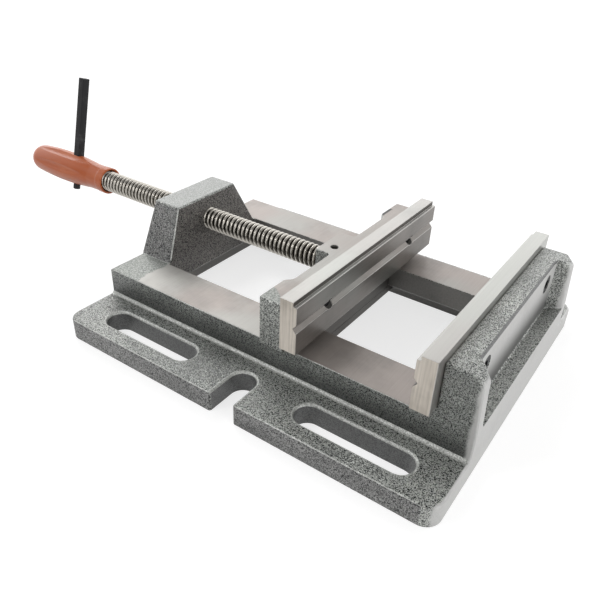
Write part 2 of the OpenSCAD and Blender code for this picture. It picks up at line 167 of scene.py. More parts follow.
@dataclass
class ShaderTree(NodeMaker):
    """A material's node tree with short calls for the patterns that the finishes use."""

    material: bpy.types.Material = field(init=False)
    shader: bpy.types.ShaderNode = field(init=False)
    position: Socket = field(init=False)

    def __post_init__(self) -> None:
        """Makes the material with a Principled shader and object coordinates."""
        self.material = bpy.data.materials.new(self.name)
        self.material.use_nodes = True
        self.tree = self.material.node_tree
        self.shader = next(node for node in self.tree.nodes if node.type == "BSDF_PRINCIPLED")
        self.position = self.node("ShaderNodeTexCoord").outputs["Object"]

    def along(self, axis: str) -> Socket:
        """Gives one of the object coordinates.

        Args:
            axis: X, Y or Z.

        Returns:
            The place along that axis, in metres.
        """
        return self.node("ShaderNodeSeparateXYZ", {0: self.position}).outputs[axis]

    def noise(self, grain: Grain) -> Socket:
        """Adds a noise pattern.

        Args:
            grain: the pattern.

        Returns:
            The noise value, with a mean of about NOISE_MEAN.
        """
        place, scale = self.position, grain.scale
        if isinstance(scale, tuple):
            place = self.node("ShaderNodeMapping", {"Vector": place, "Scale": scale}).outputs["Vector"]
            scale = 1.0
        made = self.node("ShaderNodeTexNoise", {
            "Vector": place, "Scale": scale, "Detail": grain.detail, "Roughness": grain.roughness,
            "Distortion": grain.swirl,
        })
        return made.outputs["Fac"]

    def blend(self, share: object, first: object, second: object) -> Socket:
        """Mixes two colours.

        Args:
            share: how much of the second colour shows.
            first: a colour or a colour socket.
            second: a colour or a colour socket.

        Returns:
            The mixed colour.
        """
        made = self.node("ShaderNodeMix", {"Factor": share}, data_type="RGBA")
        places = [place for place, socket in enumerate(made.inputs) if socket.type == "RGBA"]
        for place, value in zip(places, (first, second)):
            self.fill(made, {place: (*value, 1.0) if isinstance(value, tuple) else value})
        return next(socket for socket in made.outputs if socket.type == "RGBA")

    def bump(
        self, height: Socket, depth_mm: float, strength: float, under: Socket | None = None,
    ) -> Socket:
        """Adds a bump.

        Args:
            height: the height from 0 to 1.
            depth_mm: how deep a height of 1 is.
            strength: the share of the bump that shows.
            under: the normal of another bump beneath it.

        Returns:
            The bent normal.
        """
        inputs = {"Height": height, "Distance": depth_mm * MM, "Strength": strength}
        if under is not None:
            inputs["Normal"] = under
        return self.node("ShaderNodeBump", inputs).outputs["Normal"]

    def finish(
        self, colour: Socket, roughness: object, metallic: float, others: Inputs,
    ) -> bpy.types.Material:
        """Feeds the shader.

        Args:
            colour: the base colour.
            roughness: the roughness.
            metallic: the metallic share.
            others: what its other inputs get.

        Returns:
            The finished material.
        """
        main_inputs = {"Base Color": colour, "Roughness": roughness, "Metallic": metallic}
        self.fill(self.shader, {**main_inputs, **others})
        return self.material


@dataclass(frozen=True)
class HammeredPaint:
    """Silvery hammered paint: pale threads of metal flake round small dark dimples, under a clear gloss.

    Between the heights foot_dark and foot_clear the paint gets darker towards the foot of a wall, as
    painted shade.
    Past bare_after, a place along X, the surface is rubbed to the pale filler over bare_fade.
    """

    name: str = "hammered_paint"
    valley: Colour = (0.014, 0.017, 0.016)
    thread: Colour = (0.62, 0.64, 0.60)
    cells: Grain = Grain(1180.0, 1.5, 0.55, 0.6)
    thread_width: float = 0.12
    patches: Grain = Grain(28.0)
    patch_band: Pair = (0.35, 0.65)
    patch_share: Pair = (0.72, 1.0)
    fine: Grain = Grain(2600.0, 1.0)
    fine_mm: float = 0.03
    fine_strength: float = 0.35
    dimple_mm: float = 0.22
    dimple_strength: float = 0.8
    roughness: Pair = (0.45, 0.30)
    metallic: float = 0.6
    gloss: float = 0.7
    gloss_roughness: float = 0.25
    gloss_dimple_share: float = 0.5
    gloss_strength: float = 0.6
    foot_dark: float | None = None
    foot_clear: float = 26.0
    foot_share: float = 0.8
    foot_border: Grain = Grain(90.0, 3.0)
    bare_after: float | None = None
    bare_fade: Pair = (0.8, 3.0)
    bare_border: Grain = Grain(160.0, 3.0)
    ragged_mm: float = 3.0
    filler: Colour = (0.56, 0.56, 0.55)

    def material(self) -> bpy.types.Material:
        """Builds the paint.

        Returns:
            The material.
        """
        tree = ShaderTree(self.name)
        off_line = tree.math("ABSOLUTE", tree.math("SUBTRACT", tree.noise(self.cells), NOISE_MEAN))
        threads = tree.ramp(off_line, 0.0, self.thread_width, 1.0, 0.0)
        patches = tree.ramp(tree.noise(self.patches), *self.patch_band, *self.patch_share)
        share = tree.math("MULTIPLY", threads, patches)
        normal = tree.bump(threads, self.dimple_mm, self.dimple_strength)
        normal = tree.bump(tree.noise(self.fine), self.fine_mm, self.fine_strength, normal)
        gloss_normal = tree.bump(threads, self.dimple_mm * self.gloss_dimple_share, self.gloss_strength)
        colour = self.shade_and_bare(tree, tree.blend(share, self.valley, self.thread))
        return tree.finish(colour, tree.ramp(threads, 0.0, 1.0, *self.roughness), self.metallic, {
            "Normal": normal, "Coat Normal": gloss_normal, "Coat Weight": self.gloss,
            "Coat Roughness": self.gloss_roughness,
        })

    def shade_and_bare(self, tree: ShaderTree, colour: Socket) -> Socket:
        """Paints shade on the foot of a wall and bares the filler at the end, where these are asked for.

        Args:
            tree: the paint's tree.
            colour: the fresh paint.

        Returns:
            The colour with painted shade at the foot and bare filler at the end.
        """
        # painted shade: the paint darkens to the valley colour towards the foot of a wall
        if self.foot_dark is not None:
            height = self.ragged(tree, "Z", self.foot_border)
            share = tree.ramp(height, self.foot_dark * MM, self.foot_clear * MM, self.foot_share, 0.0)
            colour = tree.blend(share, colour, self.valley)
        if self.bare_after is not None:
            place = self.ragged(tree, "X", self.bare_border)
            start, end = self.bare_fade
            share = tree.ramp(place, (self.bare_after + start) * MM, (self.bare_after + end) * MM)
            colour = tree.blend(share, colour, self.filler)
        return colour

    def ragged(self, tree: ShaderTree, axis: str, border: Grain) -> Socket:
        """Gives a coordinate that wanders a little, for a border that isn't straight.

        Args:
            tree: the paint's tree.
            axis: X, Y or Z.
            border: the pattern of the wandering.

        Returns:
            The wandering coordinate, in metres.
        """
        wander = tree.math("MULTIPLY", tree.noise(border), self.ragged_mm * MM)
        return tree.math("ADD", tree.along(axis), wander)


@dataclass(frozen=True)
class PaintLine:
    """A line on a machined top beyond which the casting keeps its paint, over a limited stretch of Y. Where
    dark is set, the stretch is near black instead, as painted shade.
    """

    start: Pair
    toward: Pair
    stretch: Pair = (-200.0, 200.0)
    ragged_mm: float = 2.0
    dark: bool = False
    border: Grain = Grain(140.0, 3.0)
    half_fade: float = 0.6
    end_fade: float = 1.0

    def share(self, tree: ShaderTree) -> Socket:
        """Tells where the paint shows.

        Args:
            tree: the tree of the machined surface.

        Returns:
            1 on paint and 0 on bare metal.
        """
        across, beside = (
            tree.math("MULTIPLY", tree.math("SUBTRACT", tree.along(axis), place * MM), slope)
            for axis, place, slope in zip("XY", self.start, self.toward)
        )
        centred = tree.math("SUBTRACT", tree.noise(self.border), NOISE_MEAN)
        wander = tree.math("MULTIPLY", centred, 2 * self.ragged_mm * MM)
        reach = tree.math("ADD", tree.math("ADD", across, beside), wander)
        shown = tree.ramp(reach, -self.half_fade * MM, self.half_fade * MM)
        for end, sign in zip(self.stretch, (1.0, -1.0)):
            inside = tree.math("MULTIPLY", tree.math("SUBTRACT", tree.along("Y"), end * MM), sign)
            shown = tree.math("MULTIPLY", shown, tree.ramp(inside, 0.0, self.end_fade * MM))
        return shown


@dataclass(frozen=True)
class MachinedIron:
    """Milled cast iron: grey to warm grey, with tool lines one way, a few stains, painted borders and
    near-black bands of painted shade.
    """

    name: str = "machined_iron"
    base: Colour = (0.40, 0.392, 0.37)
    warm: Colour = (0.40, 0.355, 0.33)
    dark: Colour = (0.22, 0.205, 0.19)
    tints: Grain = Grain(14.0)
    tint_band: Pair = (0.42, 0.58)
    stains: Grain = Grain(24.0, 4.0, 0.6)
    stain_band: Pair = (0.45, 0.75)
    stain_share: float = 0.55
    lines: Grain = Grain((2500.0, 30.0, 2500.0), 2.0, 0.6)
    line_share: float = 0.35
    line_mm: float = 0.012
    line_strength: float = 0.6
    grain: Grain = Grain(900.0)
    grain_mm: float = 0.006
    grain_strength: float = 0.4
    roughness: float = 0.42
    roughness_spread: float = 0.16
    metallic: float = 0.55
    painted: tuple[PaintLine, ...] = ()
    speckle: Grain = Grain(1180.0, 1.5, 0.55)
    speckle_band: Pair = (0.4, 0.6)
    skin: tuple[Colour, Colour] = ((0.15, 0.16, 0.15), (0.30, 0.31, 0.29))
    # near-black tones of painted shade for lines marked dark
    shade_tones: tuple[Colour, Colour] = ((0.012, 0.013, 0.012), (0.045, 0.047, 0.045))

    def material(self) -> bpy.types.Material:
        """Builds the milled surface.

        Returns:
            The material.
        """
        tree = ShaderTree(self.name)
        lines = tree.noise(self.lines)
        stains = tree.ramp(tree.noise(self.stains), *self.stain_band)
        worn = tree.math("MULTIPLY", stains, self.stain_share)
        share = tree.math("ADD", worn, tree.math("MULTIPLY", lines, self.line_share), clamp=True)
        tint = tree.ramp(tree.noise(self.tints), *self.tint_band)
        colour = tree.blend(share, tree.blend(tint, self.base, self.warm), self.dark)
        for line in self.painted:
            speckle = tree.ramp(tree.noise(self.speckle), *self.speckle_band)
            tones = self.shade_tones if line.dark else self.skin
            colour = tree.blend(line.share(tree), colour, tree.blend(speckle, *tones))
        normal = tree.bump(lines, self.line_mm, self.line_strength)
        normal = tree.bump(tree.noise(self.grain), self.grain_mm, self.grain_strength, normal)
        spread = tree.math("MULTIPLY", lines, self.roughness_spread)
        rough = tree.math("ADD", spread, self.roughness - self.roughness_spread / 2)
        return tree.finish(colour, rough, self.metallic, {"Normal": normal})


@dataclass(frozen=True)
class PaleSkin:
    """Thin smooth paint over filed iron: pale grey with a fine grain and a few rubbed patches.

    Between the heights foot_dark and foot_clear it gets darker towards its foot, as painted shade.
    """

    name: str = "pale_skin"
    base: Colour = (0.62, 0.62, 0.61)
    rubbed: Colour = (0.50, 0.50, 0.49)
    # colour of the painted shade at the foot
    foot_shade: Colour = (0.05, 0.05, 0.048)
    patches: Grain = Grain(45.0, 4.0, 0.6)
    patch_band: Pair = (0.45, 0.75)
    patch_share: float = 0.4
    grain: Grain = Grain(800.0, 2.0, 0.6)
    grain_band: Pair = (0.42, 0.62)
    grain_share: float = 0.25
    grain_mm: float = 0.0125
    grain_strength: float = 0.5
    roughness: float = 0.5
    metallic: float = 0.15
    foot_dark: float | None = None
    foot_clear: float = 52.0
    foot_share: float = 0.85

    def material(self) -> bpy.types.Material:
        """Builds the pale surface.

        Returns:
            The material.
        """
        tree = ShaderTree(self.name)
        patches = tree.ramp(tree.noise(self.patches), *self.patch_band)
        grains = tree.ramp(tree.noise(self.grain), *self.grain_band)
        worn = tree.math("MULTIPLY", patches, self.patch_share)
        share = tree.math("ADD", worn, tree.math("MULTIPLY", grains, self.grain_share), clamp=True)
        colour = tree.blend(share, self.base, self.rubbed)
        # painted shade towards the foot of the wall
        if self.foot_dark is not None:
            low, high = self.foot_dark * MM, self.foot_clear * MM
            share = tree.ramp(tree.along("Z"), low, high, self.foot_share, 0.0)
            colour = tree.blend(share, colour, self.foot_shade)
        normal = tree.bump(grains, self.grain_mm, self.grain_strength)
        return tree.finish(colour, self.roughness, self.metallic, {"Normal": normal})


@dataclass(frozen=True)
class ScrewSteel:
    """Bright turned steel with painted shade in its thread roots."""

    name: str = "thread_steel"
    crest: Colour = (0.50, 0.475, 0.43)
    # painted shade of the thread roots
    root: Colour = (0.030, 0.026, 0.022)
    axis_height: float = 44.0
    root_radius: float = 5.75
    crest_radius: float = 6.95
    wear: Grain = Grain(380.0, 3.0)
    wear_band: Pair = (0.25, 0.6)
    wear_share: Pair = (0.75, 1.0)
    grain: Grain = Grain(1800.0, 1.0)
    grain_mm: float = 0.01
    grain_strength: float = 0.4
    roughness_band: Pair = (0.3, 0.7)
    roughness: Pair = (0.20, 0.34)
    metallic: float = 0.95

    def material(self) -> bpy.types.Material:
        """Builds the steel, with painted shade where the surface lies near the axis.

        Returns:
            The material.
        """
        tree = ShaderTree(self.name)
        rise = tree.math("SUBTRACT", tree.along("Z"), self.axis_height * MM)
        squares = (tree.math("POWER", side, 2.0) for side in (tree.along("Y"), rise))
        radius = tree.math("SQRT", tree.math("ADD", *squares))
        share = tree.ramp(radius, self.root_radius * MM, self.crest_radius * MM)
        wear = tree.noise(self.wear)
        share = tree.math("MULTIPLY", share, tree.ramp(wear, *self.wear_band, *self.wear_share))
        rough = tree.ramp(wear, *self.roughness_band, *self.roughness)
        normal = tree.bump(tree.noise(self.grain), self.grain_mm, self.grain_strength)
        colour = tree.blend(share, self.root, self.crest)
        return tree.finish(colour, rough, self.metallic, {"Normal": normal})


@dataclass(frozen=True)
class MouldedPlastic:
    """Satin moulded plastic with faint flow marks."""

    name: str = "grip_plastic"
    base: Colour = (0.45, 0.098, 0.024)
    pale: Colour = (0.54, 0.150, 0.050)
    flow: Grain = Grain((35.0, 160.0, 160.0), 3.0, 0.6)
    flow_band: Pair = (0.4, 0.8)
    grain: Grain = Grain(2200.0, 1.0)
    grain_mm: float = 0.02
    grain_strength: float = 0.25
    roughness_band: Pair = (0.3, 0.7)
    roughness: Pair = (0.29, 0.42)

    def material(self) -> bpy.types.Material:
        """Builds the plastic.

        Returns:
            The material.
        """
        tree = ShaderTree(self.name)
        flow = tree.noise(self.flow)
        colour = tree.blend(tree.ramp(flow, *self.flow_band), self.base, self.pale)
        rough = tree.ramp(flow, *self.roughness_band, *self.roughness)
        normal = tree.bump(tree.noise(self.grain), self.grain_mm, self.grain_strength)
        return tree.finish(colour, rough, 0.0, {"Normal": normal})


@dataclass(frozen=True)
class BlackOxide:
    """Blackened steel, a little greyer where it is rubbed."""

    name: str = "black_oxide"
    base: Colour = (0.016, 0.016, 0.018)
    rubbed: Colour = (0.06, 0.06, 0.062)
    rub: Grain = Grain(160.0, 4.0, 0.65)
    rub_band: Pair = (0.5, 0.8)
    drawn: Grain = Grain((1500.0, 1500.0, 60.0))
    drawn_mm: float = 0.015
    drawn_strength: float = 0.5
    roughness_band: Pair = (0.2, 0.8)
    roughness: Pair = (0.32, 0.54)
    metallic: float = 0.6

    def material(self) -> bpy.types.Material:
        """Builds the black steel.

        Returns:
            The material.
        """
        tree = ShaderTree(self.name)
        colour = tree.blend(tree.ramp(tree.noise(self.rub), *self.rub_band), self.base, self.rubbed)
        drawn = tree.noise(self.drawn)
        rough = tree.ramp(drawn, *self.roughness_band, *self.roughness)
        normal = tree.bump(drawn, self.drawn_mm, self.drawn_strength)
        return tree.finish(colour, rough, self.metallic, {"Normal": normal})


@dataclass(frozen=True)
class PaleFloor:
    """A plain pale sweep that throws less light on the vise than the camera and metal see in it."""

    name: str = "pale_floor"
    seen: Colour = (0.42, 0.42, 0.42)
    bounced: Colour = (0.40, 0.39, 0.38)
    glow: float = 0.72
    roughness: float = 0.9

    def material(self) -> bpy.types.Material:
        """Builds the floor's matt white.

        Returns:
            The material.
        """
        tree = ShaderTree(self.name)
        path = tree.node("ShaderNodeLightPath")
        shown = tree.math("ADD", path.outputs["Is Camera Ray"], path.outputs["Is Glossy Ray"], clamp=True)
        shown = tree.math("ADD", shown, path.outputs["Is Transmission Ray"], clamp=True)
        return tree.finish(tree.blend(shown, self.bounced, self.seen), self.roughness, 0.0, {
            "Specular IOR Level": 0.0, "Emission Color": WHITE,
            "Emission Strength": tree.math("MULTIPLY", shown, self.glow),
        })


class Finish(Enum):
    """The finishes that a face or a piece can have."""

    PAINT = "paint"
    WORN_PAINT = "worn_paint"
    SHADED_WALL_PAINT = "shaded_wall_paint"
    END_PAINT = "end_paint"
    SIDE_PAINT = "side_paint"
    BRIDGE_PAINT = "bridge_paint"
    HIGHLIGHT_RIM_PAINT = "highlight_rim_paint"
    SHADED_SLOT_PAINT = "shaded_slot_paint"
    SKIN = "skin"
    POCKET_WALL = "pocket_wall"
    INNER_WALL = "inner_wall"
    IRON = "iron"
    JAW_TOP = "jaw_top"
    RAIL = "rail"
    SHADOW = "shadow"
    GROUND = "ground"
    SHADED_GRIP_FACE = "shaded_grip_face"
    MILLED_END = "milled_end"
    BLACK = "black"
    THREAD = "thread"
    PLASTIC = "plastic"


Palette = dict[Finish, bpy.types.Material]


@dataclass(frozen=True)
class Zone:
    """A box of space in millimetres."""

    low: Point
    high: Point

    def holds(self, place: Vector) -> bool:
        """Tells whether the box holds a place in millimetres."""
        return all(low <= part <= high for low, part, high in zip(self.low, place, self.high))

    def mirrored(self, axis: int) -> "Zone":
        """Gives the zone's mirror image on the other side of the origin.

        Args:
            axis: 0 for an image along X and 1 for one along Y.

        Returns:
            The image.
        """
        low, high = list(self.low), list(self.high)
        low[axis], high[axis] = -self.high[axis], -self.low[axis]
        return replace(self, low=tuple(low), high=tuple(high))


@dataclass(frozen=True)
class EdgeZone(Zone):
    """A zone whose edges are rounded to one radius."""

    radius: float


@dataclass(frozen=True)
class FaceZone(Zone):
    """A zone whose faces have one finish, or only those that point along normal where it is given."""

    finish: Finish
    normal: Point | None = None
    within: float = 0.9

    def takes(self, face: bpy.types.MeshPolygon) -> bool:
        """Tells whether a face has the zone's finish.

        Args:
            face: the face.

        Returns:
            Whether its middle lies in the box and it points the right way.
        """
        if not self.holds(face.center / MM):
            return False
        return self.normal is None or face.normal.dot(Vector(self.normal)) >= self.within

    def mirrored(self, axis: int) -> "FaceZone":
        """Gives the zone's mirror image, with its normal turned round too.

        Args:
            axis: 0 for an image along X and 1 for one along Y.

        Returns:
            The image.
        """
        image = super().mirrored(axis)
        if self.normal is None:
            return image
        normal = list(self.normal)
        normal[axis] = -normal[axis]
        return replace(image, normal=tuple(normal))


def with_images(zones: list[Zone], *axes: int) -> list[Zone]:
    """Adds the mirror images of zones.

    Args:
        zones: the zones.
        axes: the axes along which each zone has an image, 0 for X and 1 for Y.

    Returns:
        The zones and their images.
    """
    for axis in axes:
        zones = zones + [zone.mirrored(axis) for zone in zones]
    return zones


def new_piece(name: str, mesh: bpy.types.Mesh, materials: list[bpy.types.Material]) -> bpy.types.Object:
    """Links a new object at the origin.

    Args:
        name: the piece's name.
        mesh: its mesh, in place.
        materials: the materials in the order of the mesh's material numbers.

    Returns:
        The object.
    """
    piece = bpy.data.objects.new(name, mesh)
    bpy.context.scene.collection.objects.link(piece)
    set_materials(piece, materials)
    return piece


def set_materials(piece: bpy.types.Object, materials: list[bpy.types.Material]) -> None:
    """Gives a piece its materials, with every face on the first one.

    Args:
        piece: the piece.
        materials: the materials in the order of their numbers.
    """
    piece.data.materials.clear()
    for material in materials:
        piece.data.materials.append(material)


def apply_modifiers(piece: bpy.types.Object) -> None:
    """Turns what a piece's modifiers make into its plain mesh.

    Args:
        piece: the piece, which has no modifiers afterwards.
    """
    graph = bpy.context.evaluated_depsgraph_get()
    shown = piece.evaluated_get(graph)
    mesh = bpy.data.meshes.new_from_object(shown, preserve_all_data_layers=True, depsgraph=graph)
    old = piece.data
    piece.modifiers.clear()
    piece.data = mesh
    bpy.data.meshes.remove(old)
    mesh.name = piece.name


def smooth(piece: bpy.types.Object, crease_degrees: float) -> None:
    """Shades a piece smooth between its creases.

    Args:
        piece: the piece.
        crease_degrees: the angle from which an edge stays a crease.
    """
    for face in piece.data.polygons:
        face.use_smooth = True
    piece.data.set_sharp_from_angle(angle=math.radians(crease_degrees))


def settle_piece(piece: bpy.types.Object, body: Body, slot: Slot, *nodes: str) -> None:
    """Tells the frame what a piece rides on and stands for, and reports it.

    Args:
        piece: the finished piece.
        body: the body that carries it.
        slot: its material slot; not used.
        nodes: the solids that it stands for.
    """
    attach(piece, body.value)
    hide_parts(*nodes)
    LOG.info("%s: %d faces", piece.name, len(piece.data.polygons))


@dataclass
class RoundedCopy:
    """A copy of a solid with its edges rounded by place and its faces finished by place.

    The first zone that holds an edge or a face decides. Where none does, an edge has edge_radius and a face
    has the first of the finishes.
    """

    name: str
    node: str
    body: Body
    slot: Slot
    finishes: list[Finish]
    edge_radius: float
    segments: int = 2
    edge_zones: list[EdgeZone] = field(default_factory=list)
    face_zones: list[FaceZone] = field(default_factory=list)
    sharp_degrees: float = 25.0
    crease_degrees: float = 50.0
    flat_degrees: float = 0.4
    merge_mm: float = 0.002
    face_weight: int = 70

    def build(self, palette: Palette) -> None:
        """Builds the rounded piece.

        Args:
            palette: the materials.
        """
        shape = self.clean()
        widest = max([self.edge_radius] + [zone.radius for zone in self.edge_zones])
        self.weigh(shape, widest)
        mesh = bpy.data.meshes.new(self.name)
        shape.to_mesh(mesh)
        shape.free()
        piece = new_piece(self.name, mesh, [palette[finish] for finish in self.finishes])
        bevel = piece.modifiers.new("edges", "BEVEL")
        bevel.limit_method = "WEIGHT"
        bevel.width = widest * MM
        bevel.segments = self.segments
        bevel.use_clamp_overlap = False
        bevel.miter_outer = "MITER_ARC"
        bevel.loop_slide = True
        apply_modifiers(piece)
        self.dress(piece.data)
        self.shade(piece)
        settle_piece(piece, self.body, self.slot, self.node)

    def clean(self) -> bmesh.types.BMesh:
        """Copies the node's mesh, merges its loose triangles and makes flat faces whole.

        Returns:
            The clean mesh.
        """
        shape = bmesh.new()
        shape.from_mesh(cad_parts[self.node].data)
        bmesh.ops.remove_doubles(shape, verts=shape.verts, dist=self.merge_mm * MM)
        bmesh.ops.dissolve_limit(
            shape, angle_limit=math.radians(self.flat_degrees), verts=shape.verts, edges=shape.edges,
        )
        return shape

    def weigh(self, shape: bmesh.types.BMesh, widest: float) -> None:
        """Gives every sharp edge its share of the widest radius.

        Args:
            shape: the clean mesh.
            widest: the widest radius in millimetres.
        """
        layer = shape.edges.layers.float.new("bevel_weight_edge")
        for edge in shape.edges:
            if len(edge.link_faces) != 2 or edge.calc_face_angle(0.0) < math.radians(self.sharp_degrees):
                continue
            middle = (edge.verts[0].co + edge.verts[1].co) / (2 * MM)
            radii = (zone.radius for zone in self.edge_zones if zone.holds(middle))
            edge[layer] = next(radii, self.edge_radius) / widest

    def dress(self, mesh: bpy.types.Mesh) -> None:
        """Gives each face the number of its finish.

        Args:
            mesh: the rounded mesh.
        """
        for face in mesh.polygons:
            found = (zone.finish for zone in self.face_zones if zone.takes(face))
            face.material_index = self.finishes.index(next(found, self.finishes[0]))

    def shade(self, piece: bpy.types.Object) -> None:
        """Shades the piece smooth, with normals weighted so that broad faces stay flat.

        Args:
            piece: the piece.
        """
        smooth(piece, self.crease_degrees)
        weighted = piece.modifiers.new("shading", "WEIGHTED_NORMAL")
        weighted.mode = "FACE_AREA"
        weighted.weight = self.face_weight
        weighted.keep_sharp = True
        apply_modifiers(piece)


def directions(columns: int) -> list[float]:
    """Gives the angles of evenly spaced directions round an axis."""
    return [2 * math.pi * column / columns for column in range(columns)]


def add_ring(shape: bmesh.types.BMesh, place: float, height: float, radii: list[float]) -> Ring:
    """Adds one ring of points round the screw's axis.

    Args:
        shape: the mesh.
        place: the ring's place along X.
        height: the axis's height.
        radii: the radius in each direction, or an empty list for a single point on the axis.

    Returns:
        The ring's points.
    """
    if not radii:
        return [shape.verts.new((place * MM, 0.0, height * MM))]
    points = []
    for angle, radius in zip(directions(len(radii)), radii):
        spot = Vector((place, radius * math.cos(angle), height + radius * math.sin(angle)))
        points.append(shape.verts.new(spot * MM))
    return points


def join_rings(name: str, shape: bmesh.types.BMesh, rings: list[Ring]) -> bpy.types.Mesh:
    """Joins rings of points into a closed mesh.

    Args:
        name: the mesh's name.
        shape: the mesh that holds the points, which is used up.
        rings: rings in order, which start and end with a single point.

    Returns:
        The mesh, with its faces outwards.
    """
    for near, far in zip(rings, rings[1:]):
        columns = max(len(near), len(far))
        for column in range(columns):
            after = (column + 1) % columns
            if len(near) == 1:
                shape.faces.new((near[0], far[after], far[column]))
            elif len(far) == 1:
                shape.faces.new((near[column], near[after], far[0]))
            else:
                shape.faces.new((near[column], near[after], far[after], far[column]))
    bmesh.ops.recalc_face_normals(shape, faces=shape.faces)
    mesh = bpy.data.meshes.new(name)
    shape.to_mesh(mesh)
    shape.free()
    return mesh


def turned_mesh(name: str, outline: list[Pair], height: float, columns: int) -> bpy.types.Mesh:
    """Turns an outline round the screw's axis.

    Args:
        name: the mesh's name.
        outline: places along X against radii, from axis to axis, in millimetres.
        height: the axis's height in millimetres.
        columns: how many steps go round.

    Returns:
        A closed mesh.
    """
    shape = bmesh.new()
    rings = [
        add_ring(shape, place, height, [radius] * columns if radius > 0 else [])
        for place, radius in outline
    ]
    return join_rings(name, shape, rings)


@dataclass
class GeometryTree(NodeMaker):
    """A geometry node tree with named inputs."""

    inlet: bpy.types.Node = field(init=False)
    outlet: bpy.types.Node = field(init=False)

    def __post_init__(self) -> None:
        """Makes the tree with its group input and output."""
        self.tree = bpy.data.node_groups.new(self.name, "GeometryNodeTree")
        self.tree.interface.new_socket("Geometry", in_out="OUTPUT", socket_type="NodeSocketGeometry")
        self.inlet = self.node("NodeGroupInput")
        self.outlet = self.node("NodeGroupOutput")

    def given(self, name: str, value: float | int) -> Socket:
        """Adds a named input.

        Args:
            name: the input's name.
            value: its default, a whole number or a length in metres.

        Returns:
            The socket that carries it.
        """
        kind = "NodeSocketInt" if isinstance(value, int) else "NodeSocketFloat"
        self.tree.interface.new_socket(name, in_out="INPUT", socket_type=kind).default_value = value
        return self.inlet.outputs[name]


